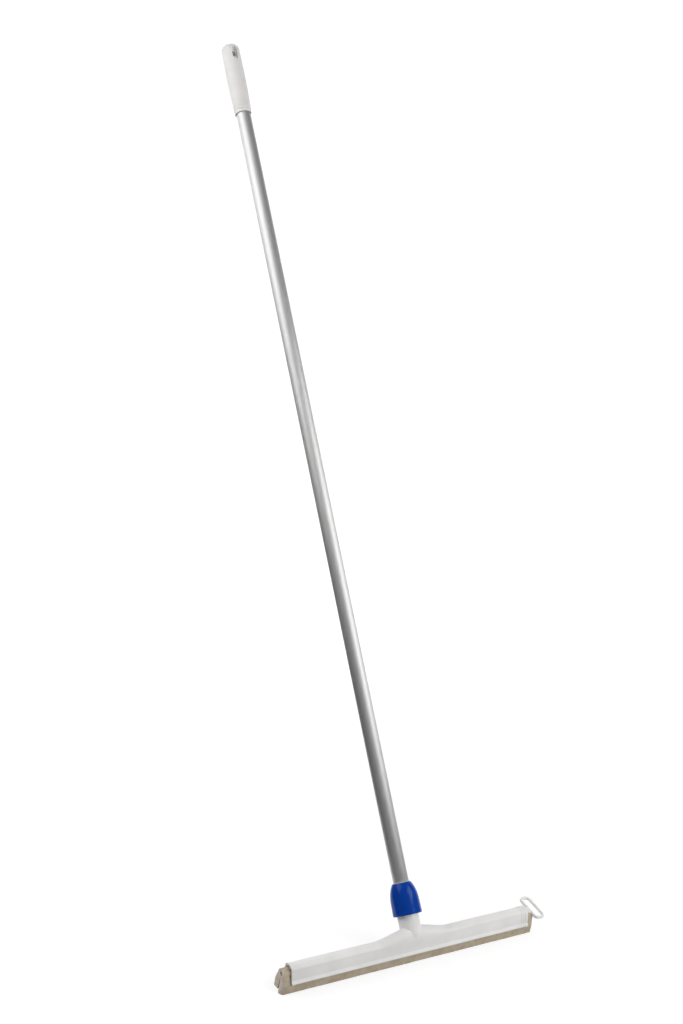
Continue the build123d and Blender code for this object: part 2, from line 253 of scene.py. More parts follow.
def srgb(code):
    """An sRGB hex colour as linear red, green, blue and alpha."""
    channels = [int(code[i:i + 2], 16) / 255 for i in (1, 3, 5)]
    return [c / 12.92 if c <= 0.04045 else ((c + 0.055) / 1.055)**2.4 for c in channels] + [1.0]


def bare_material(name):
    """A new material whose node tree is empty."""
    material = bpy.data.materials.new(name)
    material.use_nodes = True
    material.node_tree.nodes.clear()
    return material


def add_node(tree, kind, inputs=None, stops=(), **settings):
    """Adds a node with settings, colour stops and links. An input is a value, or a node and its output."""
    node = tree.nodes.new(kind)
    for key, value in settings.items():
        setattr(node, key, value)
    for i, (position, code) in enumerate(stops):
        node.color_ramp.elements[i].position = position
        node.color_ramp.elements[i].color = srgb(code)
    for socket, value in (inputs or {}).items():
        if isinstance(value, tuple) and isinstance(value[0], bpy.types.Node):
            tree.links.new(value[0].outputs[value[1]], node.inputs[socket])
        else:
            node.inputs[socket].default_value = value
    return node


# Outer half of the head's section from its mouth to its crown, at the front, with a slightly swollen flank
flank_shares = [k / 10 for k in range(1, 10)]
front_corners = [
    (-MOUTH_HALF, SKIRT_Z, 0.3),
    (-SKIRT_HALF, SKIRT_Z, 0.5),
    (-SKIRT_HALF, SKIRT_Z + SKIRT_EDGE, 0.9),
    (-WAIST_HALF, WAIST_Z, 1.2),
    *[
        (
            -WAIST_HALF - (SHOULDER_HALF - WAIST_HALF) * t - 4 * FLANK_SWELL * t * (1 - t),
            WAIST_Z + (SHOULDER_Z - WAIST_Z) * t,
            0,
        )
        for t in flank_shares
    ],
    (-SHOULDER_HALF, SHOULDER_Z, 0.2),
    (-SHOULDER_HALF - LEDGE, SHOULDER_Z + LEDGE, 0.3),
]
crown = arch(SHOULDER_HALF + LEDGE, SHOULDER_Z + LEDGE, CROWN_Z, CROWN_POINTS)
channel = [
    (MOUTH_HALF, SKIRT_Z, 0.3),
    (CHANNEL_WAIST_HALF, WAIST_Z, 0.6),
    (PINCH_HALF, PINCH_LOW_Z, 0.3),
    (PINCH_HALF, PINCH_HIGH_Z, 0.3),
    (CHAMBER_HALF, CHAMBER_Z, 0.4),
    (CHANNEL_TOP_HALF, SHOULDER_Z, 0.6),
    (RIB_OUTER, CEILING_Z - CEILING_DROP, 0.2),
    (RIB_OUTER, RIB_FOOT_Z, 0.3),
    (RIB_INNER, RIB_FOOT_Z, 0.3),
    (RIB_INNER, CEILING_Z, 0.2),
]
mirrored_front = [(-across, up, radius) for across, up, radius in reversed(front_corners)]
mirrored_channel = [(-across, up, radius) for across, up, radius in reversed(channel[1:])]
over_crown = [(point.x, point.y, 0) for point in crown]
section = rounded(front_corners + over_crown + mirrored_front[:-1] + channel + mirrored_channel)
crown_index = min(range(len(section)), key=lambda i: abs(section[i].x) + abs(section[i].y - CROWN_Z))
back_end = 2 * crown_index + 1
outer = spaced(section[:back_end], GRID)
inner = section[back_end:]
outer_count = len(outer)
apex = outer_count // 2
foot = next(i for i, point in enumerate(outer) if point.y > FLANK_FOOT_Z)

# The same half section with no ledge, and at the top of the dome
flank = [point for point in outer[foot:apex] if point.y < SHOULDER_Z - SOFT_DROP]
over = [point for point in outer[foot:apex + 1] if point.x > SOFT_REACH - SHOULDER_HALF]
soft_low = (-SOFT_LOW[0], SOFT_LOW[1])
soft_high = (-SOFT_HIGH[0], SOFT_HIGH[1])
soft_edge = bezier(flank[-1], soft_low, soft_high, over[0], SOFT_STEPS)
no_ledge = flank + soft_edge[1:-1] + over
dome_top = (DOME_TOP_BACK, DOME_TOP_Z)
dome = bezier(
    outer[foot], (-DOME_SIDE_HALF, DOME_SIDE_Z), (-DOME_ROUND_HALF, DOME_TOP_Z), dome_top, DOME_STEPS
)
dome_back = bezier(
    (-outer[foot].x, outer[foot].y), (DOME_SIDE_HALF, DOME_SIDE_Z),
    (DOME_ROUND_HALF + 2 * DOME_TOP_BACK, DOME_TOP_Z), dome_top, DOME_STEPS,
)
front_shares = shares(outer[foot:apex + 1])
plain_targets = {}
dome_targets = {}
for i, share in enumerate(front_shares):
    soft = at_share(no_ledge, share)
    plain_targets[foot + i] = soft
    plain_targets[outer_count - 1 - foot - i] = Vector((-soft.x, soft.y))
    dome_targets[foot + i] = at_share(dome, share)
    dome_targets[outer_count - 1 - foot - i] = at_share(dome_back, share)


def proud_at(station):
    """How far the outside stands proud at a place along the head: on the end rims and the thin ribs."""
    raised = [(-head_end - 1, RIM_LENGTH - head_end), (head_end - RIM_LENGTH, head_end + 1), *END_RIBS]
    return max(
        RIM_PROUD * min(1.0, max(0.0, min(station - low, high - station) / RIM_SLOPE)) for low, high in raised
    )


def head_ring(station):
    """The head's section at a place along it, with its rims, its ribs and the dome."""
    reach = abs(station)
    bare = 1 - ease(reach, CREASE_START, CREASE_END)
    climb = min(1.0, max(0.0, (DOME_HALF - reach) / (DOME_HALF - DOME_FLAT)))
    climb = (1 - DOME_EASE) * climb + DOME_EASE * ease(climb, 0, 1)
    proud = proud_at(station)
    ring = []
    for i, point in enumerate(outer):
        if i in plain_targets:
            point = point.lerp(plain_targets[i], bare).lerp(dome_targets[i], climb)
        run = outer[min(i + 1, outer_count - 1)] - outer[max(i - 1, 0)]
        out = Vector((-run.y, run.x)).normalized() * proud
        ring.append((station, mid_y + point.x + out.x, max(SKIRT_Z, point.y + out.y)))
    return ring + [(station, mid_y + point.x, point.y) for point in inner]


# Sections on both sides of each raised edge, close together over the dome, and far apart on the plain runs
edges = [RIM_LENGTH - head_end, head_end - RIM_LENGTH] + [edge for rib in END_RIBS for edge in rib]
stations = {-head_end, head_end}
for edge in edges:
    stations |= {edge - RIM_SLOPE, edge, edge + RIM_SLOPE}
stations |= {2.0 * k for k in range(-32, 33)}
stations |= {sign * x for sign in (-1, 1) for x in range(72, 201, 16)}
stations = sorted(stations)
head_points = [point for station in stations for point in head_ring(station)]
ring_size = outer_count + len(inner)
head_mesh = closed_mesh(
    "moulded_head", head_points, bands(len(stations), ring_size) + caps(len(stations), ring_size)
)

# Socket: a sleeve on the leaning pole axis. Its root narrows into the dome, and its bore opens in a cone at
# the top, as a seat for the collet
SOCKET_RADIUS = 16.3
SOCKET_TOP = 60.0
SOCKET_FLOOR = 13.0
BORE_RADIUS = 12.08
SEAT_RADIUS = 14.6
SEAT_LOW = 50.0
ROOT_LOW = -8.0
ROOT_TOP = 6.0
ROOT_HALF = 6.0
ROOT_CURVE = 1.5
SLEEVE_LEVELS = (20.0, 34.0, 48.0)
SOCKET_EDGE = 0.8
SOCKET_EDGE_MIDDLE = 0.25
BLOCK_REACH = 30.0
TURN_STEPS = 128
root_levels = [ROOT_LOW + (ROOT_TOP - ROOT_LOW) * k / 12 for k in range(13)]
sleeve_rings = []
for level in root_levels:
    share = (level - ROOT_LOW) / (ROOT_TOP - ROOT_LOW)
    deep = ROOT_HALF + (SOCKET_RADIUS - ROOT_HALF) * (1 - (1 - share)**ROOT_CURVE)
    sleeve_rings.append((SOCKET_RADIUS, deep, level))
straight_levels = (*SLEEVE_LEVELS, SOCKET_TOP - SOCKET_EDGE)
sleeve_rings += [(SOCKET_RADIUS, SOCKET_RADIUS, level) for level in straight_levels]
for inset, drop in ((SOCKET_EDGE_MIDDLE, SOCKET_EDGE_MIDDLE), (SOCKET_EDGE, 0.0)):
    sleeve_rings.append((SOCKET_RADIUS - inset, SOCKET_RADIUS - inset, SOCKET_TOP - drop))
sleeve_points = [
    (across * math.cos(math.tau * k / TURN_STEPS), deep * math.sin(math.tau * k / TURN_STEPS), level)
    for across, deep, level in sleeve_rings
    for k in range(TURN_STEPS)
]
sleeve = closed_mesh(
    "sleeve", sleeve_points, bands(len(sleeve_rings), TURN_STEPS) + caps(len(sleeve_rings), TURN_STEPS)
)
bore = turned(
    "bore",
    [(0, SOCKET_FLOOR), (BORE_RADIUS, SOCKET_FLOOR), (BORE_RADIUS, SEAT_LOW), (SEAT_RADIUS, SOCKET_TOP),
     (SEAT_RADIUS, SOCKET_TOP + 1), (0, SOCKET_TOP + 1)],
    TURN_STEPS,
)
sleeve.transform(pole)
bore.transform(pole)
# The sleeve ends inside the wall over the channel, so that nothing of it stands in the channel
half_block = [(9.4, 20.0), (9.4, 30.0), (7.9, 35.4), (4.0, 38.0)]
block_outline = half_block + [(-across, up) for across, up in reversed(half_block)]
block_points = [(x, mid_y + across, up) for x in (-BLOCK_REACH, BLOCK_REACH) for across, up in block_outline]
block = closed_mesh("block", block_points, bands(2, len(block_outline)) + caps(2, len(block_outline)))
sleeve = carved(sleeve, block, "DIFFERENCE")
head_mesh = carved(carved(head_mesh, sleeve, "UNION"), bore, "DIFFERENCE")

# Screw thread on the socket: a ridge that runs out at both ends
THREAD_PITCH = 4.0
THREAD_DEPTH = 1.5
THREAD_FOOT = 2.4
THREAD_CREST = 1.0
THREAD_SINK = 0.2
SOCKET_THREAD_START = 42.0
SOCKET_THREAD_TURNS = 3
RUN_OUT = 0.12
LEAST_RIDGE = 0.02
RIDGE_STEPS = 64


def thread(name, root, crest, start, turns):
    """A mesh of a helical ridge from a root radius to a crest radius, tapered away at both ends."""
    steps = RIDGE_STEPS * turns
    points = []
    for k in range(steps + 1):
        share = k / steps
        full = min(1.0, share * turns / RUN_OUT, (1 - share) * turns / RUN_OUT)
        top = root + (crest - root) * max(LEAST_RIDGE, full)
        turn = math.tau * turns * share
        rise = start + THREAD_PITCH * turns * share
        ridge = (root, -THREAD_FOOT), (top, -THREAD_CREST), (top, THREAD_CREST), (root, THREAD_FOOT)
        for radius, width in ridge:
            points.append((radius * math.cos(turn), radius * math.sin(turn), rise + width / 2))
    return closed_mesh(name, points, bands(steps + 1, 4) + caps(steps + 1, 4))


def joined(name, *meshes):
    """One mesh that holds several."""
    work = bmesh.new()
    for mesh in meshes:
        work.from_mesh(mesh)
    whole = bpy.data.meshes.new(name)
    work.to_mesh(whole)
    work.free()
    return whole


socket_thread = thread(
    "socket_thread", SOCKET_RADIUS - THREAD_SINK, SOCKET_RADIUS + THREAD_DEPTH,
    SOCKET_THREAD_START, SOCKET_THREAD_TURNS,
)
socket_thread.transform(pole)
head_mesh = joined("moulded_head", head_mesh, socket_thread)

# White polypropylene off a fine matt mould: a soft even sheen, a little light held under the skin, and faint
# cloudy shading where the melt flowed. The grain is drawn coarser than the real one, so that it shows.
GRAIN = 0.7
FLOW = 45.0
head_plastic = bare_material("polypropylene_white_fine_matt")
tree = head_plastic.node_tree
where = add_node(tree, "ShaderNodeTexCoord")
flow = add_node(
    tree, "ShaderNodeTexNoise", {"Vector": (where, "Object"), "Scale": 1 / (FLOW * MM), "Detail": 3.0}
)
tone = add_node(
    tree, "ShaderNodeValToRGB", {"Fac": (flow, "Fac")},
    stops=((0.3, "#E9E8E6"), (0.7, "#F2F1EF")),
)
gloss = add_node(
    tree, "ShaderNodeMapRange", {"Value": (flow, "Fac"), "To Min": 0.40, "To Max": 0.50}
)
grain = add_node(
    tree, "ShaderNodeTexNoise", {"Vector": (where, "Object"), "Scale": 1 / (GRAIN * MM), "Detail": 2.0}
)
relief = add_node(
    tree, "ShaderNodeBump", {"Height": (grain, "Fac"), "Strength": 0.25, "Distance": 0.03 * MM}
)
shader = add_node(tree, "ShaderNodeBsdfPrincipled", {
    "Base Color": (tone, "Color"),
    "Roughness": (gloss, "Result"),
    "Normal": (relief, "Normal"),
    "IOR": 1.49,
    "Subsurface Weight": 0.08,
    "Subsurface Radius": (1.0, 0.95, 0.9),
    "Subsurface Scale": 1.5 * MM,
})
add_node(tree, "ShaderNodeOutputMaterial", {"Surface": (shader, "BSDF")})
head = placed("moulded_head", head_mesh, head_plastic)
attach(head, "head")
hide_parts("squeegee_frame")

# The rubber blade
# A strip of cellular natural rubber folded lengthwise over the core, so that it makes two lips. The channel
# grips the fold. Past the channel's ends the rubber swells, and its cut ends bulge under the weight.
BLADE_LENGTH = 450.0
SLIT_TOP_HALF = 0.4
SLIT_TOP_Z = 21.4
CLEAR = 0.5
BLADE_TOP_Z = 34.5
END_TOP_Z = 34.8
BEAD_HOLE = 2.85
LAYERS = 4
# Past the channel the section opens to its free shape, sooner low down than at the fold
RELAX_START = 215.2
RELAX_END = 219.5
LOW_RELAX_END = 217.0
RELAX_LOW_Z = 19.0
RELAX_HIGH_Z = 27.0
EARLY = 18.0
# The ends aren't flat: the right one leans out at its top, and the left one bulges at the front lip
PUSH_START = 212.0
RIGHT_LEAN = 3.8
RIGHT_LEAN_Z = 28.0
RIGHT_BACK = 2.0
LEFT_PUSH = 1.2
LEFT_BULGE = 4.3
BULGE_MIDDLE = -6.0
BULGE_HALF = 7.0
BULGE_LOSS = 0.7
BULGE_LOW_Z = 2.0
BULGE_HIGH_Z = 20.0
# The free edges aren't quite straight
SOFT_WAVE = 0.12
SOFT_WAVE_Z = 4.0
LONG_WAVE = 17.0
SHORT_WAVE = 7.3
SHORT_SHARE = 0.6
SHORT_SHIFT = 1.0
# Sections lie close together at the ends and further apart where the channel holds the rubber
END_STEP = 0.7
HELD_STEP = 5.0
NOTCH_REACH = 20.0
END_HALF = 8.3
held_lip = [
    (1.7, 0.0, 0.5),
    (13.0, 0.0, 1.0),
    (MOUTH_HALF - CLEAR, SKIRT_Z, 4.0),
    (CHANNEL_WAIST_HALF - CLEAR, WAIST_Z, 1.0),
    (PINCH_HALF - CLEAR, PINCH_LOW_Z, 0.5),
    (PINCH_HALF - CLEAR, PINCH_HIGH_Z, 0.5),
    (CHAMBER_HALF - CLEAR, CHAMBER_Z, 1.5),
]
swollen = [
    (11.5, WAIST_Z, 1.0),
    (9.6, PINCH_LOW_Z, 0.5),
    (9.2, PINCH_HIGH_Z, 0.5),
    (END_HALF, CHAMBER_Z, 1.5),
]
end_lip = [(1.2, 0.0, 0.7), (13.0, 0.0, 1.2), (13.1, SKIRT_Z, 4.0), *swollen]
left_front_lip = [(-0.2, 0.0, 0.7), (13.0, 0.0, 1.2), (13.1, SKIRT_Z, 4.0), *swollen]
left_back_lip = [(4.4, 0.0, 0.7), (14.2, 0.0, 1.4), (13.5, SKIRT_Z, 4.0), *swollen]


def lips(back, front, top_half, top_z):
    """The blade's section in rows from the outside in to the slit, each from the back lip to the front."""
    over_fold = [(p.x, p.y, 0) for p in reversed(arch(top_half, CHAMBER_Z, top_z, 11))]
    other_lip = [(-across, up, radius) for across, up, radius in reversed(front)]
    slit = [(-SLIT_TOP_HALF, SLIT_TOP_Z, 0)]
    for k in range(13):
        turn = math.pi * (k + 0.5) / 13
        slit.append((-BEAD_HOLE * math.sin(turn), CHAMBER_Z - BEAD_HOLE * math.cos(turn), 0))
    slit += [(-across, up, 0) for across, up, radius in reversed(slit)]
    outline = rounded(back + over_fold + other_lip + slit)
    arc = ARC_STEPS + 1
    last = len(outline) - len(slit) - arc
    outside = outline[arc:last]
    inside = list(reversed(outline[last:] + outline[:arc]))
    inside = [at_share(inside, share) for share in shares(outside)]
    return [[a.lerp(b, k / LAYERS) for a, b in zip(outside, inside)] for k in range(LAYERS + 1)]


held_rows = lips(held_lip, held_lip, CHAMBER_HALF - CLEAR, BLADE_TOP_Z)
left_rows = lips(left_back_lip, left_front_lip, END_HALF, END_TOP_Z)
right_rows = lips(end_lip, end_lip, END_HALF, END_TOP_Z)


def pushed(station, across, up):
    """How far a point near an end is pushed along the blade: the left end bulges, the right end leans."""
    near = ease(abs(station), PUSH_START, BLADE_LENGTH / 2)
    if station > 0:
        return near * (RIGHT_LEAN * (up / RIGHT_LEAN_Z)**3 - RIGHT_BACK)
    bulge = max(0.0, 1 - ((across - BULGE_MIDDLE) / BULGE_HALF)**2)
    bulge *= 1 - BULGE_LOSS * ease(up, BULGE_LOW_Z, BULGE_HIGH_Z)
    return -near * (LEFT_PUSH + LEFT_BULGE * bulge)


def blade_rows(station):
    """The rows of the blade's section at a place along it."""
    rows = []
    for held_row, end_row in zip(held_rows, left_rows if station < 0 else right_rows):
        row = []
        for a, b in zip(held_row, end_row):
            low = 1 - ease(a.y, SOFT_WAVE_Z, SKIRT_Z)
            relaxed = LOW_RELAX_END + (RELAX_END - LOW_RELAX_END) * ease(a.y, RELAX_LOW_Z, RELAX_HIGH_Z)
            point = a.lerp(b, ease(abs(station), RELAX_START - EARLY * low, relaxed))
            wave = math.sin(station / LONG_WAVE) + SHORT_SHARE * math.sin(station / SHORT_WAVE + SHORT_SHIFT)
            wave *= SOFT_WAVE * low
            row.append((station + pushed(station, point.x, point.y), mid_y + point.x + wave, point.y))
        rows.append(row)
    return rows


blade_half = BLADE_LENGTH / 2
blade_stations = {sign * (RELAX_START + END_STEP * k) for sign in (-1, 1) for k in range(14)}
blade_stations |= {-blade_half, blade_half} | {HELD_STEP * k for k in range(-42, 43)}
blade_stations = sorted(blade_stations)
blade_points = []
for station in blade_stations:
    rows = blade_rows(station)
    blade_points += rows[0] + [row[-1] for row in rows[1:-1]]
    blade_points += rows[-1][::-1] + [row[0] for row in rows[-2:0:-1]]
blade_faces = bands(len(blade_stations), len(blade_points) // len(blade_stations))
for station in (-blade_half, blade_half):
    rows = blade_rows(station)
    first = len(blade_points)
    across_count = len(rows[0])
    blade_points += [point for row in rows for point in row]
    blade_faces += [
        tuple(first + i for i in (k, k + 1, k + 1 + across_count, k + across_count))
        for row in range(LAYERS)
        for k in range(row * across_count, (row + 1) * across_count - 1)
    ]
blade_mesh = closed_mesh("rubber_blade_strip", blade_points, blade_faces)

# At the right end the fold is cut off at a slant, to let the pull loop's neck out
notch_outline = [(215.4, 36.0), (228.5, 25.2), (232.0, 36.0)]
notch_sides = (mid_y - NOTCH_REACH, mid_y + NOTCH_REACH)
notch_points = [(x, side, up) for side in notch_sides for x, up in notch_outline]
notch = closed_mesh("notch", notch_points, bands(2, 3) + caps(2, 3))
blade_mesh = carved(blade_mesh, notch, "DIFFERENCE")

# Taupe cellular rubber, cut from a block: dull all over, with open pores about a millimetre wide, drawn
# slightly coarser than the real ones so that they show. Each pore is painted darker in its middle, as
# painted shade in the hollow. Near both ends, the faces that look along the blade are painted paler, as
# painted light falling on the end faces.
PORE = 1.1
MOTTLE = 9.0
# Where the painted light on the end faces begins along the blade, and where it is full
END_LIGHT_START = 219.5
END_LIGHT_FULL = 222.5
foam = bare_material("cellular_rubber_taupe_cut")
tree = foam.node_tree
where = add_node(tree, "ShaderNodeTexCoord")
mottle = add_node(
    tree, "ShaderNodeTexNoise", {"Vector": (where, "Object"), "Scale": 1 / (MOTTLE * MM), "Detail": 4.0}
)
pores = add_node(
    tree, "ShaderNodeTexVoronoi", {"Vector": (where, "Object"), "Scale": 1 / (PORE * MM), "Randomness": 1.0}
)
# Painted shade: the skin's tone is darker in the middle of each pore
skin_with_pore_shade = add_node(
    tree, "ShaderNodeValToRGB", {"Fac": (pores, "Distance")},
    stops=((0.05, "#A89A87"), (0.35, "#C7BAA5")),
)
# Painted light: a paler tone for the end faces, with the same painted shade in the pores
lit_end_with_pore_shade = add_node(
    tree, "ShaderNodeValToRGB", {"Fac": (pores, "Distance")},
    stops=((0.05, "#C8BBB0"), (0.35, "#E3D7CD")),
)
facing = add_node(tree, "ShaderNodeSeparateXYZ", {"Vector": (where, "Normal")})
endwise = add_node(tree, "ShaderNodeMath", {0: (facing, "X")}, operation="ABSOLUTE")
at_end = add_node(
    tree, "ShaderNodeMapRange", {"Value": (endwise, "Value"), "From Min": 0.15, "From Max": 0.5},
    interpolation_type="SMOOTHSTEP",
)
place = add_node(tree, "ShaderNodeSeparateXYZ", {"Vector": (where, "Object")})
far_out = add_node(tree, "ShaderNodeMath", {0: (place, "X")}, operation="ABSOLUTE")
near_end = add_node(
    tree, "ShaderNodeMapRange",
    {
        "Value": (far_out, "Value"), "From Min": END_LIGHT_START * MM, "From Max": END_LIGHT_FULL * MM,
        "To Max": (at_end, "Result"),
    },
    interpolation_type="SMOOTHSTEP",
)
# Painted light: near the ends, the faces that look along the blade are painted paler
skin_or_lit_end = add_node(
    tree, "ShaderNodeMixRGB",
    {"Fac": (near_end, "Result"), "Color1": (skin_with_pore_shade, "Color"), "Color2": (lit_end_with_pore_shade, "Color")}
)
mottle_tone = add_node(
    tree, "ShaderNodeValToRGB", {"Fac": (mottle, "Fac")},
    stops=((0.35, "#EAE7E2"), (0.65, "#FFFFFF")),
)
foam_colour = add_node(
    tree, "ShaderNodeMixRGB",
    {"Fac": 1.0, "Color1": (skin_or_lit_end, "Color"), "Color2": (mottle_tone, "Color")}, blend_type="MULTIPLY"
)
pits = add_node(
    tree, "ShaderNodeBump", {"Height": (pores, "Distance"), "Strength": 0.5, "Distance": 0.35 * MM}
)
shader = add_node(tree, "ShaderNodeBsdfPrincipled", {
    "Base Color": (foam_colour, "Color"),
    "Roughness": 0.93,
    "Normal": (pits, "Normal"),
    "IOR": 1.5,
    "Specular IOR Level": 0.25,
})
add_node(tree, "ShaderNodeOutputMaterial", {"Surface": (shader, "BSDF")})
blade = placed("rubber_blade_strip", blade_mesh, foam, sharp=40.0)
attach(blade, "cassette")
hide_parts("rubber_blade")

# The core strip and its pull loop
# One moulding of natural polypropylene: a bead on a flat spine runs inside the fold and holds it in the
# channel, and a flat loop at the right end is pulled to draw the whole blade out.
BEAD_RADIUS = 2.8
BEAD_SWEEP = 308
SPINE_HALF = 1.2
SPINE_BREAK = 40.0
NECK_END = 228.0
LOOP_WIRE = 4.8
LOOP_EDGE = 2.2
LOOP_WIDTH = 20.8
LOOP_LENGTH = 49.4
LOOP_CORNER = 8.5
LOOP_ROLL = math.radians(9.3)
LOOP_Z = 31.0
NECK_START = 216.0
NECK_FRONT = -5.0
NECK_BACK = 6.5
NECK_EDGE = 1.0
LOOP_BACK = 5.7
core_low, core_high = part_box("blade_core")
bead_arc = [math.radians(-BEAD_SWEEP / 2 + BEAD_SWEEP * k / 22) for k in range(23)]
core_outline = [(BEAD_RADIUS * math.sin(a), CHAMBER_Z + BEAD_RADIUS * math.cos(a)) for a in bead_arc]
core_outline += [(SPINE_HALF, SLIT_TOP_Z), (-SPINE_HALF, SLIT_TOP_Z)]
core_stations = [core_low.x / MM, SPINE_BREAK - blade_half, 0.0]
core_stations += [blade_half - SPINE_BREAK, blade_half, NECK_END]
core_points = [(x, mid_y + across, up) for x in core_stations for across, up in core_outline]
strip = closed_mesh(
    "strip", core_points,
    bands(len(core_stations), len(core_outline)) + caps(len(core_stations), len(core_outline)),
)
half_wire = LOOP_WIRE / 2
across_half = LOOP_WIDTH / 2 - half_wire
along_half = LOOP_LENGTH / 2 - half_wire
bend = LOOP_CORNER - half_wire
loop_path = []
for sign_x, sign_y, start in ((1, 1, 0), (-1, 1, 90), (-1, -1, 180), (1, -1, 270)):
    for k in range(13):
        turn = math.radians(start + 90 * k / 12)
        loop_path.append((
            sign_x * (across_half - bend) + bend * math.cos(turn),
            sign_y * (along_half - bend) + bend * math.sin(turn),
            Vector((math.cos(turn), math.sin(turn), 0)),
        ))
wire_section = rounded([
    (half_wire, half_wire, LOOP_EDGE), (-half_wire, half_wire, LOOP_EDGE),
    (-half_wire, -half_wire, LOOP_EDGE), (half_wire, -half_wire, LOOP_EDGE),
])
loop_points = [
    Vector((x, y, 0)) + out * point.x + Vector((0, 0, point.y))
    for x, y, out in loop_path
    for point in wire_section
]
loop_place = Matrix.Translation((core_high.x / MM - LOOP_WIDTH / 2, mid_y + LOOP_BACK, LOOP_Z))
loop_place = loop_place @ Matrix.Rotation(LOOP_ROLL, 4, "X")
loop_mesh = closed_mesh(
    "loop", [loop_place @ point for point in loop_points],
    bands(len(loop_path), len(wire_section), closed=True),
)
neck_outline = rounded([
    (NECK_BACK - LOOP_BACK, half_wire, NECK_EDGE), (NECK_FRONT - LOOP_BACK, half_wire, NECK_EDGE),
    (NECK_FRONT - LOOP_BACK, -half_wire, NECK_EDGE), (NECK_BACK - LOOP_BACK, -half_wire, NECK_EDGE),
])
neck_ends = (NECK_START - core_high.x / MM + LOOP_WIDTH / 2, half_wire - LOOP_WIDTH / 2)
neck_points = [loop_place @ Vector((x, point.x, point.y)) for x in neck_ends for point in neck_outline]
neck = closed_mesh("neck", neck_points, bands(2, len(neck_outline)) + caps(2, len(neck_outline)))
core_mesh = carved(carved(loop_mesh, neck, "UNION"), strip, "UNION")
core_mesh.name = "core_with_loop"

# Uncoloured polypropylene: milky, with light glowing through its thin loop and faint clouds in the milk
HAZE = 12.0
core_plastic = bare_material("polypropylene_natural_moulded")
tree = core_plastic.node_tree
where = add_node(tree, "ShaderNodeTexCoord")
haze = add_node(
    tree, "ShaderNodeTexNoise", {"Vector": (where, "Object"), "Scale": 1 / (HAZE * MM), "Detail": 3.0}
)
tone = add_node(
    tree, "ShaderNodeValToRGB", {"Fac": (haze, "Fac")},
    stops=((0.3, "#E9E9E7"), (0.7, "#F2F2F0")),
)
gloss = add_node(
    tree, "ShaderNodeMapRange", {"Value": (haze, "Fac"), "To Min": 0.32, "To Max": 0.44}
)
shader = add_node(tree, "ShaderNodeBsdfPrincipled", {
    "Base Color": (tone, "Color"),
    "Roughness": (gloss, "Result"),
    "IOR": 1.49,
    "Subsurface Weight": 0.8,
    "Subsurface Radius": (1.0, 1.0, 0.95),
    "Subsurface Scale": 4.0 * MM,
})
add_node(tree, "ShaderNodeOutputMaterial", {"Surface": (shader, "BSDF")})
core = placed("core_with_loop", core_mesh, core_plastic)
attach(core, "cassette")
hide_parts("blade_core")

# The bung
# A small moulded cup of natural polypropylene, pushed into the tube's lower end. Its flange keeps water out
# and the tube's cut edge off the socket's floor.
TUBE_RADIUS = 12.0
TUBE_WALL = 1.3
HANDLE_LOW = 13.3
BUNG_FLANGE = 2.0
BUNG_LENGTH = 20.0
BUNG_WALL = 1.8
BUNG_FLOOR = 3.0
BUNG_FIT = 0.05
TUBE_STEPS = 96
spigot = TUBE_RADIUS - TUBE_WALL - BUNG_FIT
bung_profile = rounded([
    (0.0, HANDLE_LOW, 0),
    (TUBE_RADIUS, HANDLE_LOW, 0.8),
    (TUBE_RADIUS, HANDLE_LOW + BUNG_FLANGE, 0.2),
    (spigot, HANDLE_LOW + BUNG_FLANGE, 0),
    (spigot, HANDLE_LOW + BUNG_LENGTH, 0.6),
    (spigot - BUNG_WALL, HANDLE_LOW + BUNG_LENGTH, 0.4),
    (spigot - BUNG_WALL, HANDLE_LOW + BUNG_FLOOR, 0.8),
    (0.0, HANDLE_LOW + BUNG_FLOOR, 0),
])
bung = placed("cup_bung", turned("cup_bung", bung_profile, TUBE_STEPS), core_plastic, pole)
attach(bung, "handle")
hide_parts("tube_bung")

# The handle tube
# Extruded aluminium, 24 mm across with a 1.3 mm wall, cut square, lightly chamfered and anodised. It stands
# in the socket, where the collet grips it, and the hand grip is glued over its upper end.
TUBE_LENGTH = 1430.0
TUBE_CHAMFER = 0.3
tube_low = HANDLE_LOW + BUNG_FLANGE
tube_high = tube_low + TUBE_LENGTH
tube_inner = TUBE_RADIUS - TUBE_WALL
tube_stations = [tube_low + TUBE_LENGTH * k / 24 for k in range(1, 24)]
tube_profile = [(TUBE_RADIUS - TUBE_CHAMFER, tube_low), (TUBE_RADIUS, tube_low + TUBE_CHAMFER)]
tube_profile += [(TUBE_RADIUS, level) for level in tube_stations]
tube_profile += [(TUBE_RADIUS, tube_high - TUBE_CHAMFER), (TUBE_RADIUS - TUBE_CHAMFER, tube_high)]
tube_profile += [(tube_inner, tube_high), (tube_inner, tube_low)]

# Satin anodised aluminium: grey metal whose highlights are drawn soft by the etch, with faint lengthwise
# lines from the extrusion die, drawn wider apart than the real ones so that they show
DIE_LINE = 1.2
DIE_LINE_LENGTH = 160.0
aluminium = bare_material("aluminium_satin_anodised")
tree = aluminium.node_tree
where = add_node(tree, "ShaderNodeTexCoord")
line_scale = (1 / (DIE_LINE * MM), 1 / (DIE_LINE * MM), 1 / (DIE_LINE_LENGTH * MM))
stretch = add_node(tree, "ShaderNodeMapping", {"Vector": (where, "Object"), "Scale": line_scale})
lines = add_node(tree, "ShaderNodeTexNoise", {"Vector": (stretch, "Vector"), "Scale": 1.0, "Detail": 2.0})
tone = add_node(
    tree, "ShaderNodeValToRGB", {"Fac": (lines, "Fac")},
    stops=((0.3, "#EBEBEA"), (0.7, "#F2F2F1")),
)
gloss = add_node(
    tree, "ShaderNodeMapRange", {"Value": (lines, "Fac"), "To Min": 0.37, "To Max": 0.43}
)
relief = add_node(
    tree, "ShaderNodeBump", {"Height": (lines, "Fac"), "Strength": 0.08, "Distance": 0.02 * MM}
)
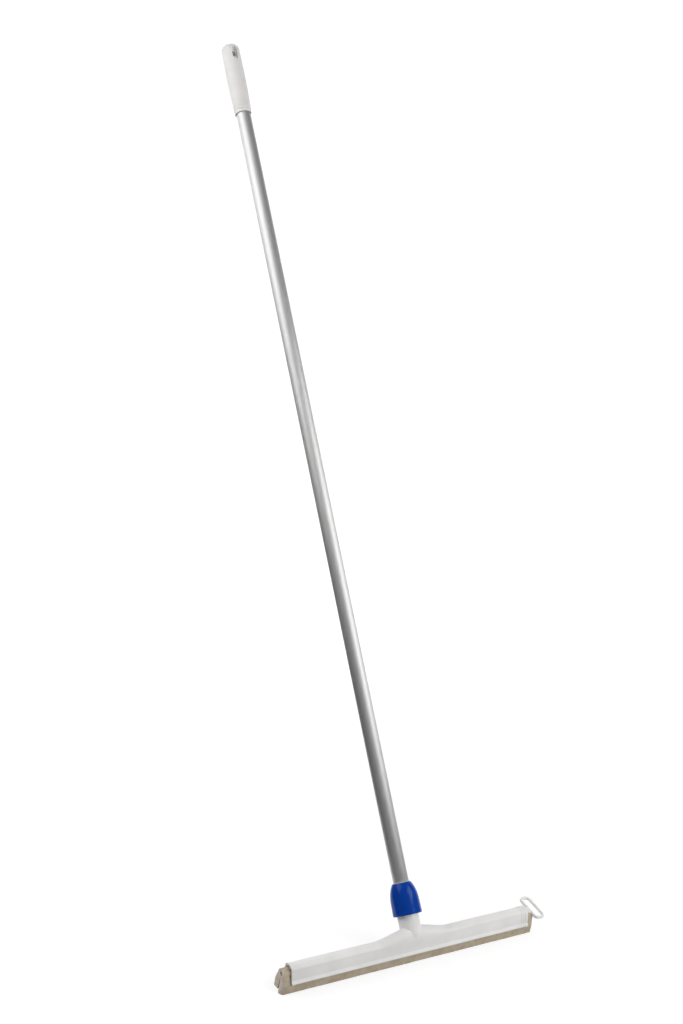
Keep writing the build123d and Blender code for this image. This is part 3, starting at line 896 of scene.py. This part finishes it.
around = add_node(tree, "ShaderNodeTangent", direction_type="RADIAL", axis="Z")
shader = add_node(tree, "ShaderNodeBsdfPrincipled", {
    "Base Color": (tone, "Color"),
    "Metallic": 1.0,
    "Roughness": (gloss, "Result"),
    "Anisotropic": 0.92,
    "Tangent": (around, "Tangent"),
    "Normal": (relief, "Normal"),
})
add_node(tree, "ShaderNodeOutputMaterial", {"Surface": (shader, "BSDF")})
tube = placed("aluminium_tube", turned("aluminium_tube", tube_profile, TUBE_STEPS), aluminium, pole)
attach(tube, "handle")
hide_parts("handle_tube")

# The collet
# A split sleeve of natural polypropylene between socket and nut. Its solid is already right in every part,
# so it keeps that shape and takes the same milky plastic as the core.
collet = frame["nodes"]["clamp_collet"]
collet.data.materials.clear()
collet.data.materials.append(core_plastic)

# The clamp nut
# A cap of blue polypropylene from a polished mould, with a screw thread inside. Turned down on the socket, it
# pushes its cone over the collet, which closes on the tube.
NUT_LOW = 33.7
NUT_HEIGHT = 47.3
NUT_FOOT_HEIGHT = 4.0
NUT_FOOT_RADIUS = 22.2
NUT_WAIST = (23.5, 21.5)
NUT_NECK = (40.5, 17.75)
NUT_TOP_RADIUS = 14.2
NUT_MOUTH_RADIUS = 13.13
NUT_THREAD_RADIUS = 18.15
NUT_BODY_RADIUS = 16.65
NUT_THREAD_LENGTH = 22.0
NUT_TOP_EDGE = 0.8
FLANGE_TOP = 63.5
FLANGE_GAP = 0.5
CONE_RADIUS = 14.9
CONE_TOP = 78.0
CONE_GAP = 0.35
NUT_THREAD_START = 44.0
NUT_THREAD_TURNS = 2
nut_top = NUT_LOW + NUT_HEIGHT
thread_top = NUT_LOW + NUT_THREAD_LENGTH
chamber_top = FLANGE_TOP + FLANGE_GAP
knots = [(NUT_FOOT_HEIGHT, NUT_FOOT_RADIUS), NUT_WAIST, NUT_NECK, (NUT_HEIGHT, NUT_TOP_RADIUS)]


def nut_radius(height):
    """The nut's outer radius at a height over its foot: the cubic through its four measured radii."""
    total = 0.0
    for i, (at, radius) in enumerate(knots):
        for j, (other, _) in enumerate(knots):
            if j != i:
                radius *= (height - other) / (at - other)
        total += radius
    return total


curved = NUT_HEIGHT - NUT_FOOT_HEIGHT - NUT_TOP_EDGE
heights = [NUT_FOOT_HEIGHT + curved * k / 40 for k in range(41)]
nut_profile = rounded(
    [(NUT_THREAD_RADIUS, NUT_LOW, 0.6), (NUT_FOOT_RADIUS, NUT_LOW, 1.6)]
    + [(nut_radius(height), NUT_LOW + height, 0) for height in heights]
    + [(NUT_TOP_RADIUS, nut_top, 0.35), (NUT_MOUTH_RADIUS, nut_top, 0.3), (NUT_MOUTH_RADIUS, CONE_TOP, 0)]
    + [(CONE_RADIUS + CONE_GAP, chamber_top, 0), (NUT_BODY_RADIUS, chamber_top, 0)]
    + [(NUT_BODY_RADIUS, thread_top, 0), (NUT_THREAD_RADIUS, thread_top, 0)]
)
nut_mesh = joined(
    "cap_nut",
    turned("nut_shell", nut_profile, TURN_STEPS),
    thread(
        "nut_thread", NUT_THREAD_RADIUS + THREAD_SINK, NUT_BODY_RADIUS, NUT_THREAD_START, NUT_THREAD_TURNS
    ),
)

# Royal blue polypropylene, polished by its mould: deep even colour under a clear shine, with a very slight
# waviness where the plastic shrank
SHRINK = 7.0
nut_plastic = bare_material("polypropylene_blue_polished")
tree = nut_plastic.node_tree
where = add_node(tree, "ShaderNodeTexCoord")
waviness = add_node(
    tree, "ShaderNodeTexNoise", {"Vector": (where, "Object"), "Scale": 1 / (SHRINK * MM), "Detail": 1.0}
)
tone = add_node(
    tree, "ShaderNodeValToRGB", {"Fac": (waviness, "Fac")},
    stops=((0.3, "#003C9A"), (0.7, "#0040A2")),
)
gloss = add_node(
    tree, "ShaderNodeMapRange", {"Value": (waviness, "Fac"), "To Min": 0.11, "To Max": 0.16}
)
relief = add_node(
    tree, "ShaderNodeBump", {"Height": (waviness, "Fac"), "Strength": 0.15, "Distance": 0.05 * MM}
)
shader = add_node(tree, "ShaderNodeBsdfPrincipled", {
    "Base Color": (tone, "Color"),
    "Roughness": (gloss, "Result"),
    "Normal": (relief, "Normal"),
    "IOR": 1.49,
    "Specular IOR Level": 0.25,
})
add_node(tree, "ShaderNodeOutputMaterial", {"Surface": (shader, "BSDF")})
nut = placed("cap_nut", nut_mesh, nut_plastic, pole)
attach(nut, "nut")
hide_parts("clamp_nut")

# The hand grip
# A moulded polypropylene cap glued over the tube's upper end, slightly barrelled, with two grip rings at its
# mouth and a hole near its rounded top to hang the tool by.
GRIP_LENGTH = 127.3
GRIP_OVERLAP = 90.0
GRIP_FOOT_RADIUS = 13.9
GRIP_MOUTH_RADIUS = 12.9
GRIP_MOUTH_DEPTH = 6.0
GRIP_BELLY = 66.0
GRIP_BELLY_RADIUS = 15.9
GRIP_TOP_RADIUS = 15.4
GRIP_ROUND = 10.0
GROOVE_DEPTH = 0.6
GROOVE_WIDTH = 1.4
GROOVE_PITCH = 5.0
GLUE = 0.05
grip_low = tube_high - GRIP_OVERLAP


def grip_radius(height):
    """The grip's radius at a height over its foot: fullest at the belly."""
    if height < GRIP_BELLY:
        away = 1 - height / GRIP_BELLY
        return GRIP_BELLY_RADIUS - (GRIP_BELLY_RADIUS - GRIP_FOOT_RADIUS) * away**2
    away = (height - GRIP_BELLY) / (GRIP_LENGTH - GRIP_BELLY)
    return GRIP_BELLY_RADIUS - (GRIP_BELLY_RADIUS - GRIP_TOP_RADIUS) * away**2


grip_corners = [(GRIP_MOUTH_RADIUS, 0.0, 0.3), (GRIP_FOOT_RADIUS, 0.0, 0.5)]
for k in (1, 2):
    low, high = GROOVE_PITCH * k - GROOVE_WIDTH / 2, GROOVE_PITCH * k + GROOVE_WIDTH / 2
    grip_corners += [
        (grip_radius(low), low, 0.25), (grip_radius(low) - GROOVE_DEPTH, low, 0.2),
        (grip_radius(high) - GROOVE_DEPTH, high, 0.2), (grip_radius(high), high, 0.25),
    ]
grip_corners += [(grip_radius(height), height, 0) for height in range(16, 117, 3)]
for k in range(13):
    turn = math.radians(90 * k / 12)
    radius = GRIP_TOP_RADIUS - GRIP_ROUND * (1 - math.cos(turn))
    grip_corners.append((radius, GRIP_LENGTH - GRIP_ROUND * (1 - math.sin(turn)), 0))
grip_corners += [
    (0.0, GRIP_LENGTH, 0), (0.0, GRIP_OVERLAP, 0), (TUBE_RADIUS + GLUE, GRIP_OVERLAP, 0),
    (TUBE_RADIUS + GLUE, GRIP_MOUTH_DEPTH, 0.3), (GRIP_MOUTH_RADIUS, GRIP_MOUTH_DEPTH, 0.3),
]
grip_profile = [(point.x, grip_low + point.y) for point in rounded(grip_corners)]
grip_mesh = turned("moulded_grip", grip_profile, TURN_STEPS)

# Hanging hole: a long pocket from each side, flared at its rim, and a round hole through the web between them
HOLE_RADIUS = 5.0
HOLE_STEPS = 48
POCKET_LENGTH = 22.4
POCKET_WIDTH = 10.6
POCKET_FLOOR = 9.0
RIM_FLARE = 0.7
RIM_LOW = 1.4
RIM_HIGH = 0.4
RIM_CLEAR = 1.5
hang_hole = next(mount for mount in frame["record"]["mounts"] if mount["name"] == "hang_hole")
hang_out = (pole.to_3x3().transposed() @ Vector(hang_hole["axis"])).normalized()
hang_centre = pole.inverted() @ Vector(hang_hole["pos_m"])
hang_side = hang_out.cross(Vector((0, 0, 1)))
hang_frame = Matrix((Vector((0, 0, 1)), hang_side, hang_out)).transposed().to_4x4()
hang_frame.translation = hang_centre


def slot_ring(length, width, level):
    """A ring with straight sides and round ends, at a level over the hole's middle."""
    straight = (length - width) / 2
    ring = []
    for end_sign in (1, -1):
        for k in range(17):
            turn = math.radians(-90 + 180 * k / 16)
            along = straight + width / 2 * math.cos(turn)
            ring.append((end_sign * along, end_sign * width / 2 * math.sin(turn), level))
    return ring


for side in (1, -1):
    levels = [
        (POCKET_LENGTH, POCKET_WIDTH, POCKET_FLOOR),
        (POCKET_LENGTH, POCKET_WIDTH, GRIP_TOP_RADIUS - RIM_LOW),
        (POCKET_LENGTH + RIM_FLARE, POCKET_WIDTH + RIM_FLARE, GRIP_TOP_RADIUS - RIM_HIGH),
        (POCKET_LENGTH + 4 * RIM_FLARE, POCKET_WIDTH + 4 * RIM_FLARE, GRIP_TOP_RADIUS + RIM_CLEAR),
    ]
    rings = [slot_ring(length, width, side * level) for length, width, level in levels]
    ring_size = len(rings[0])
    pocket = closed_mesh(
        "pocket", [point for ring in rings for point in ring],
        bands(len(rings), ring_size) + caps(len(rings), ring_size),
    )
    pocket.transform(hang_frame)
    grip_mesh = carved(grip_mesh, pocket, "DIFFERENCE")
hole_half = POCKET_FLOOR + 1
hole_profile = [(0, -hole_half), (HOLE_RADIUS, -hole_half), (HOLE_RADIUS, hole_half), (0, hole_half)]
hole = turned("hole", hole_profile, HOLE_STEPS)
hole.transform(hang_frame)
grip_mesh = carved(grip_mesh, hole, "DIFFERENCE")

# Off-white polypropylene, moulded satin: a softer shine than the nut, a touch greyer than the head, with the
# same coarsely drawn grain and faint clouds where the melt flowed
GRIP_FLOW = 25.0
grip_plastic = bare_material("polypropylene_off_white_satin")
tree = grip_plastic.node_tree
where = add_node(tree, "ShaderNodeTexCoord")
flow = add_node(
    tree, "ShaderNodeTexNoise", {"Vector": (where, "Object"), "Scale": 1 / (GRIP_FLOW * MM), "Detail": 3.0}
)
tone = add_node(
    tree, "ShaderNodeValToRGB", {"Fac": (flow, "Fac")},
    stops=((0.3, "#E6E5E2"), (0.7, "#EFEEEC")),
)
gloss = add_node(
    tree, "ShaderNodeMapRange", {"Value": (flow, "Fac"), "To Min": 0.36, "To Max": 0.46}
)
grain = add_node(
    tree, "ShaderNodeTexNoise", {"Vector": (where, "Object"), "Scale": 1 / (GRAIN * MM), "Detail": 2.0}
)
relief = add_node(
    tree, "ShaderNodeBump", {"Height": (grain, "Fac"), "Strength": 0.2, "Distance": 0.03 * MM}
)
shader = add_node(tree, "ShaderNodeBsdfPrincipled", {
    "Base Color": (tone, "Color"),
    "Roughness": (gloss, "Result"),
    "Normal": (relief, "Normal"),
    "IOR": 1.49,
    "Subsurface Weight": 0.06,
    "Subsurface Radius": (1.0, 0.95, 0.9),
    "Subsurface Scale": 1.5 * MM,
})
add_node(tree, "ShaderNodeOutputMaterial", {"Surface": (shader, "BSDF")})
grip = placed("moulded_grip", grip_mesh, grip_plastic, pole)
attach(grip, "handle")
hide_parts("hand_grip")

# The studio
# A white paper floor that runs into a white sweep behind the object, and a grey room in front. Two soft
# boxes show in the tube and the nut, three more only light the object, and a dark card shows in reflections.
scene = bpy.context.scene
scene.view_settings.view_transform = "Standard"
FLOOR_REACH = 60.0
FLOOR_NEAR = 0.5
FLOOR_FAR = 1.6
NEAR_WHITE = 0.72
floor_mesh = bpy.data.meshes.new("floor")
floor_mesh.from_pydata(
    [(x * FLOOR_REACH, y * FLOOR_REACH, 0) for x, y in ((-1, -1), (1, -1), (1, 1), (-1, 1))],
    [], [(0, 1, 2, 3)],
)
# White paper: it takes the object's shadow close by, and is plain white to the eye further off
paper = bare_material("paper_white_matt")
tree = paper.node_tree
where = add_node(tree, "ShaderNodeTexCoord")
distance = add_node(tree, "ShaderNodeVectorMath", {0: (where, "Object")}, operation="LENGTH")
white = add_node(
    tree, "ShaderNodeMapRange",
    {"Value": (distance, "Value"), "From Min": FLOOR_NEAR, "From Max": FLOOR_FAR, "To Min": NEAR_WHITE},
    interpolation_type="SMOOTHSTEP",
)
rays = add_node(tree, "ShaderNodeLightPath")
seen = add_node(
    tree, "ShaderNodeMath", {0: (rays, "Is Camera Ray"), 1: (rays, "Is Glossy Ray")}, operation="MAXIMUM"
)
seen = add_node(
    tree, "ShaderNodeMath", {0: (seen, "Value"), 1: (rays, "Is Transmission Ray")}, operation="MAXIMUM"
)
glow = add_node(tree, "ShaderNodeMath", {0: (seen, "Value"), 1: (white, "Result")}, operation="MULTIPLY")
shader = add_node(tree, "ShaderNodeBsdfPrincipled", {
    "Base Color": srgb("#A6A6A6"),
    "Roughness": 0.9,
    "Specular IOR Level": 0.0,
    "Emission Color": srgb("#FFFFFF"),
    "Emission Strength": (glow, "Value"),
})
add_node(tree, "ShaderNodeOutputMaterial", {"Surface": (shader, "BSDF")})
floor_mesh.materials.append(paper)
floor = bpy.data.objects.new("floor", floor_mesh)
scene.collection.objects.link(floor)
# Floor and card go with the head, so that it stays on them when the handle is drawn out
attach(floor, "head")

# Dark grey card with a matt face, in two runs. Only reflections show it, at the left of the tube and the nut.
CARD_LEFT = -9.0
CARD_RIGHT = -0.17
CARD_RUNS = ((-1.6, -0.03), (0.06, 6.0))
CARD_LIFT = 0.002
card_mesh = bpy.data.meshes.new("dark_card")
card_mesh.from_pydata(
    [
        (x, y, CARD_LIFT)
        for front, back in CARD_RUNS
        for x, y in ((CARD_LEFT, front), (CARD_RIGHT, front), (CARD_RIGHT, back), (CARD_LEFT, back))
    ],
    [], [(0, 1, 2, 3), (4, 5, 6, 7)],
)
card_paint = bare_material("card_dark_grey_matt")
tree = card_paint.node_tree
shader = add_node(tree, "ShaderNodeBsdfPrincipled", {
    "Base Color": srgb("#4A4A4A"),
    "Roughness": 0.9,
    "Specular IOR Level": 0.0,
})
add_node(tree, "ShaderNodeOutputMaterial", {"Surface": (shader, "BSDF")})
card_mesh.materials.append(card_paint)
card = bpy.data.objects.new("dark_card", card_mesh)
scene.collection.objects.link(card)
card.visible_camera = False
card.visible_diffuse = False
card.visible_shadow = False
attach(card, "head")

# Each lamp's place, the point that it faces, its width, height and power, and whether reflections show it
LAMPS = {
    "right_box": ((1.02, -1.01, 1.86), (-0.03, 0.29, 0.44), 1.45, 1.35, 14.0, True),
    "left_box": ((-1.4, 0.8, 1.85), (0.0, 0.75, 1.1), 1.6, 1.5, 12.0, True),
    "left_back": ((-2.2, 1.8, 1.6), (0.0, 0.7, 1.0), 1.5, 1.5, 31.0, False),
    "right_front": ((1.6, -2.2, 1.0), (0.0, 0.2, 0.2), 1.5, 1.2, 30.0, False),
    "front_top": ((-0.3, -3.8, 3.0), (0.0, 0.3, 0.3), 3.0, 3.0, 27.0, False),
}
for name, (place, target, width, height, power, in_reflections) in LAMPS.items():
    panel = bpy.data.lights.new(name, "AREA")
    panel.shape = "RECTANGLE"
    panel.size = width
    panel.size_y = height
    panel.energy = power
    lamp = bpy.data.objects.new(name, panel)
    scene.collection.objects.link(lamp)
    lamp.location = place
    lamp.rotation_euler = (Vector(place) - Vector(target)).to_track_quat("Z", "Y").to_euler()
    lamp.visible_camera = False
    lamp.visible_glossy = in_reflections

# The sweep is white round one direction and fades into the grey room between two angles from it
SWEEP_TOWARD = (0.53, 0.85, 0.0)
SWEEP_FADE = (0.55, 0.75)
world = bpy.data.worlds.new("studio")
world.use_nodes = True
scene.world = world
tree = world.node_tree
tree.nodes.clear()
where = add_node(tree, "ShaderNodeTexCoord")
facing = add_node(
    tree, "ShaderNodeVectorMath", {0: (where, "Generated"), 1: SWEEP_TOWARD}, operation="DOT_PRODUCT"
)
sweep = add_node(
    tree, "ShaderNodeMapRange",
    {"Value": (facing, "Value"), "From Min": SWEEP_FADE[0], "From Max": SWEEP_FADE[1]},
    interpolation_type="SMOOTHSTEP",
)
room = add_node(
    tree, "ShaderNodeValToRGB", {"Fac": (sweep, "Result")},
    stops=((0.0, "#757576"), (1.0, "#FFFFFF")),
)
backdrop = add_node(tree, "ShaderNodeBackground", {"Color": (room, "Color")})
add_node(tree, "ShaderNodeOutputWorld", {"Surface": (backdrop, "Background")})

# The camera stands where the photograph was taken from, with its roll and its focal length
CAMERA_PLACE = (-1.33294, -1.55833, 1.32702)
CAMERA_YAW = 0.60944
CAMERA_PITCH = 0.30861
CAMERA_ROLL = 0.14682
PICTURE_HEIGHT = 1024
FOCAL_PIXELS = 1576.58
forward = Vector((
    math.sin(CAMERA_YAW) * math.cos(CAMERA_PITCH),
    math.cos(CAMERA_YAW) * math.cos(CAMERA_PITCH),
    -math.sin(CAMERA_PITCH),
))
level = Vector((math.cos(CAMERA_YAW), -math.sin(CAMERA_YAW), 0))
tip = Matrix.Rotation(CAMERA_ROLL, 3, -forward)
right = tip @ level
up = tip @ level.cross(forward)
lens = bpy.data.cameras.new("camera")
lens.sensor_width = 36.0
lens.lens = FOCAL_PIXELS / PICTURE_HEIGHT * lens.sensor_width
lens.clip_end = 500.0
camera = bpy.data.objects.new("camera", lens)
scene.collection.objects.link(camera)
camera.matrix_world = Matrix.Translation(CAMERA_PLACE) @ Matrix((right, up, -forward)).transposed().to_4x4()
scene.camera = camera
